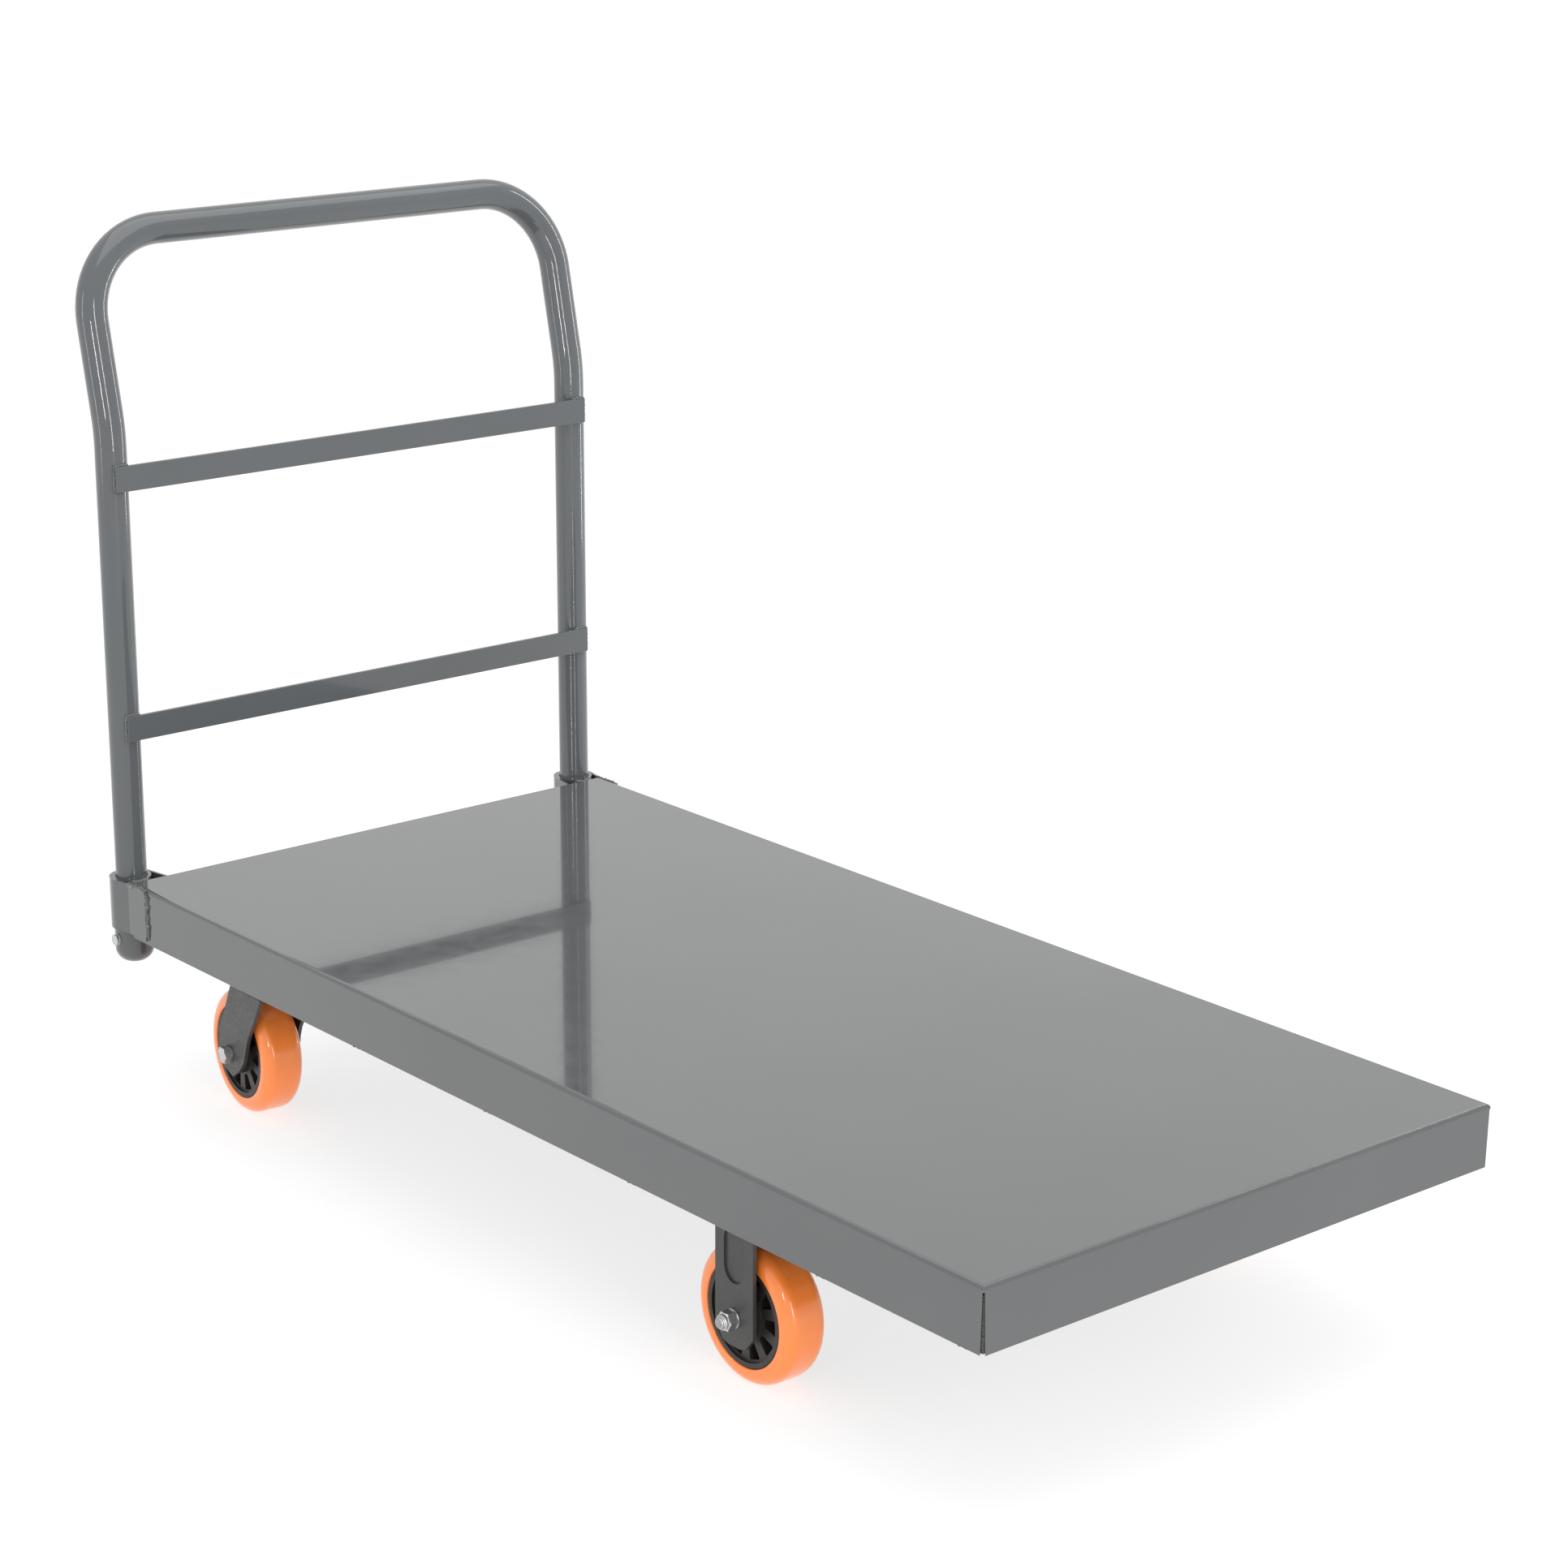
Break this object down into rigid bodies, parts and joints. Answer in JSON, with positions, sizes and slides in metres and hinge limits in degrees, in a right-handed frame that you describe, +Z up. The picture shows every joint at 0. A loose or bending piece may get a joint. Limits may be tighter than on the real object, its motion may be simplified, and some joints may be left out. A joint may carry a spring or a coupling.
{
  "type": "flatbed platform truck",
  "caption": "Flatbed platform truck with a folded grey steel deck, a lift-in push handle with flat crossbars, and orange wheels on swivel casters behind and rigid casters in front.",
  "frame": {"origin": "On the floor, under the middle of the whole outline along and across the truck.", "axes": "+X is the front of the truck, away from the handle; +Y is the left side seen by the person pushing; +Z is up."},
  "size_m": [1.6146, 0.7304, 1.0525],
  "materials": {
    "frame_powder_coat": "glossy grey powder coat",
    "handle_powder_coat": "glossy blue-grey powder coat",
    "fork_paint": "satin dark grey paint",
    "zinc_plate": "bright zinc plate",
    "bearing_steel": "bare bearing and spring steel",
    "hub_plastic": "moulded black-brown hub",
    "tyre_polyurethane": "glossy orange polyurethane tread"
  },
  "bodies": {
    "chassis": {"deck_sheet": "frame_powder_coat", "caster_channel_rear": "frame_powder_coat", "caster_channel_front": "frame_powder_coat", "cross_rib_1": "frame_powder_coat", "cross_rib_2": "frame_powder_coat", "cross_rib_3": "frame_powder_coat", "cross_rib_4": "frame_powder_coat", "cross_rib_5": "frame_powder_coat", "socket_sleeve_right": "frame_powder_coat", "socket_strap_right": "frame_powder_coat", "socket_sleeve_left": "frame_powder_coat", "socket_strap_left": "frame_powder_coat", "handle_tube": "handle_powder_coat", "crossbar_lower": "handle_powder_coat", "crossbar_upper": "handle_powder_coat", "lock_spring_right": "bearing_steel", "lock_spring_left": "bearing_steel", "caster_bolts": "zinc_plate", "caster_nuts": "zinc_plate", "swivel_plate_right": "fork_paint", "kingpin_right": "zinc_plate", "swivel_plate_left": "fork_paint", "kingpin_left": "zinc_plate", "rigid_fork_right": "fork_paint", "rigid_fork_left": "fork_paint", "axle_bolt_front_right": "zinc_plate", "axle_nuts_front_right": "zinc_plate", "axle_sleeve_front_right": "zinc_plate", "inner_races_front_right": "bearing_steel", "axle_bolt_front_left": "zinc_plate", "axle_nuts_front_left": "zinc_plate", "axle_sleeve_front_left": "zinc_plate", "inner_races_front_left": "bearing_steel"},
    "lock_button_right": {"lock_button_right": "zinc_plate"},
    "lock_button_left": {"lock_button_left": "zinc_plate"},
    "swivel_right": {"swivel_fork_right": "fork_paint", "swivel_balls_right": "bearing_steel", "axle_bolt_rear_right": "zinc_plate", "axle_nuts_rear_right": "zinc_plate", "axle_sleeve_rear_right": "zinc_plate", "inner_races_rear_right": "bearing_steel"},
    "wheel_rear_right": {"wheel_bearings_rear_right": "bearing_steel", "wheel_hub_rear_right": "hub_plastic", "tyre_rear_right": "tyre_polyurethane"},
    "swivel_left": {"swivel_fork_left": "fork_paint", "swivel_balls_left": "bearing_steel", "axle_bolt_rear_left": "zinc_plate", "axle_nuts_rear_left": "zinc_plate", "axle_sleeve_rear_left": "zinc_plate", "inner_races_rear_left": "bearing_steel"},
    "wheel_rear_left": {"wheel_bearings_rear_left": "bearing_steel", "wheel_hub_rear_left": "hub_plastic", "tyre_rear_left": "tyre_polyurethane"},
    "wheel_front_right": {"wheel_bearings_front_right": "bearing_steel", "wheel_hub_front_right": "hub_plastic", "tyre_front_right": "tyre_polyurethane"},
    "wheel_front_left": {"wheel_bearings_front_left": "bearing_steel", "wheel_hub_front_left": "hub_plastic", "tyre_front_left": "tyre_polyurethane"}
  },
  "joints": [
    {"name": "lock_button_right_press", "type": "slide", "parent": "chassis", "child": "lock_button_right", "axis": [0, 1, 0], "range_m": [0, 0.0098], "stiffness_N_per_m": 900, "springref_m": -0.002, "deforming": ["lock_spring_right"]},
    {"name": "lock_button_left_press", "type": "slide", "parent": "chassis", "child": "lock_button_left", "axis": [0, -1, 0], "range_m": [0, 0.0098], "stiffness_N_per_m": 900, "springref_m": -0.002, "deforming": ["lock_spring_left"]},
    {"name": "swivel_right_turn", "type": "hinge", "parent": "chassis", "child": "swivel_right", "pos_m": [-0.5057, -0.2861, 0.18], "axis": [0, 0, 1], "continuous": true},
    {"name": "wheel_rear_right_spin", "type": "hinge", "parent": "swivel_right", "child": "wheel_rear_right", "pos_m": [-0.55352, -0.28192, 0.0762], "axis": [0.0872, 0.9962, 0], "continuous": true},
    {"name": "swivel_left_turn", "type": "hinge", "parent": "chassis", "child": "swivel_left", "pos_m": [-0.5057, 0.2861, 0.18], "axis": [0, 0, 1], "continuous": true},
    {"name": "wheel_rear_left_spin", "type": "hinge", "parent": "swivel_left", "child": "wheel_rear_left", "pos_m": [-0.55352, 0.28192, 0.0762], "axis": [-0.0872, 0.9962, 0], "continuous": true},
    {"name": "wheel_front_right_spin", "type": "hinge", "parent": "chassis", "child": "wheel_front_right", "pos_m": [0.40659, -0.2861, 0.0762], "axis": [0, 1, 0], "continuous": true},
    {"name": "wheel_front_left_spin", "type": "hinge", "parent": "chassis", "child": "wheel_front_left", "pos_m": [0.40659, 0.2861, 0.0762], "axis": [0, 1, 0], "continuous": true}
  ]
}
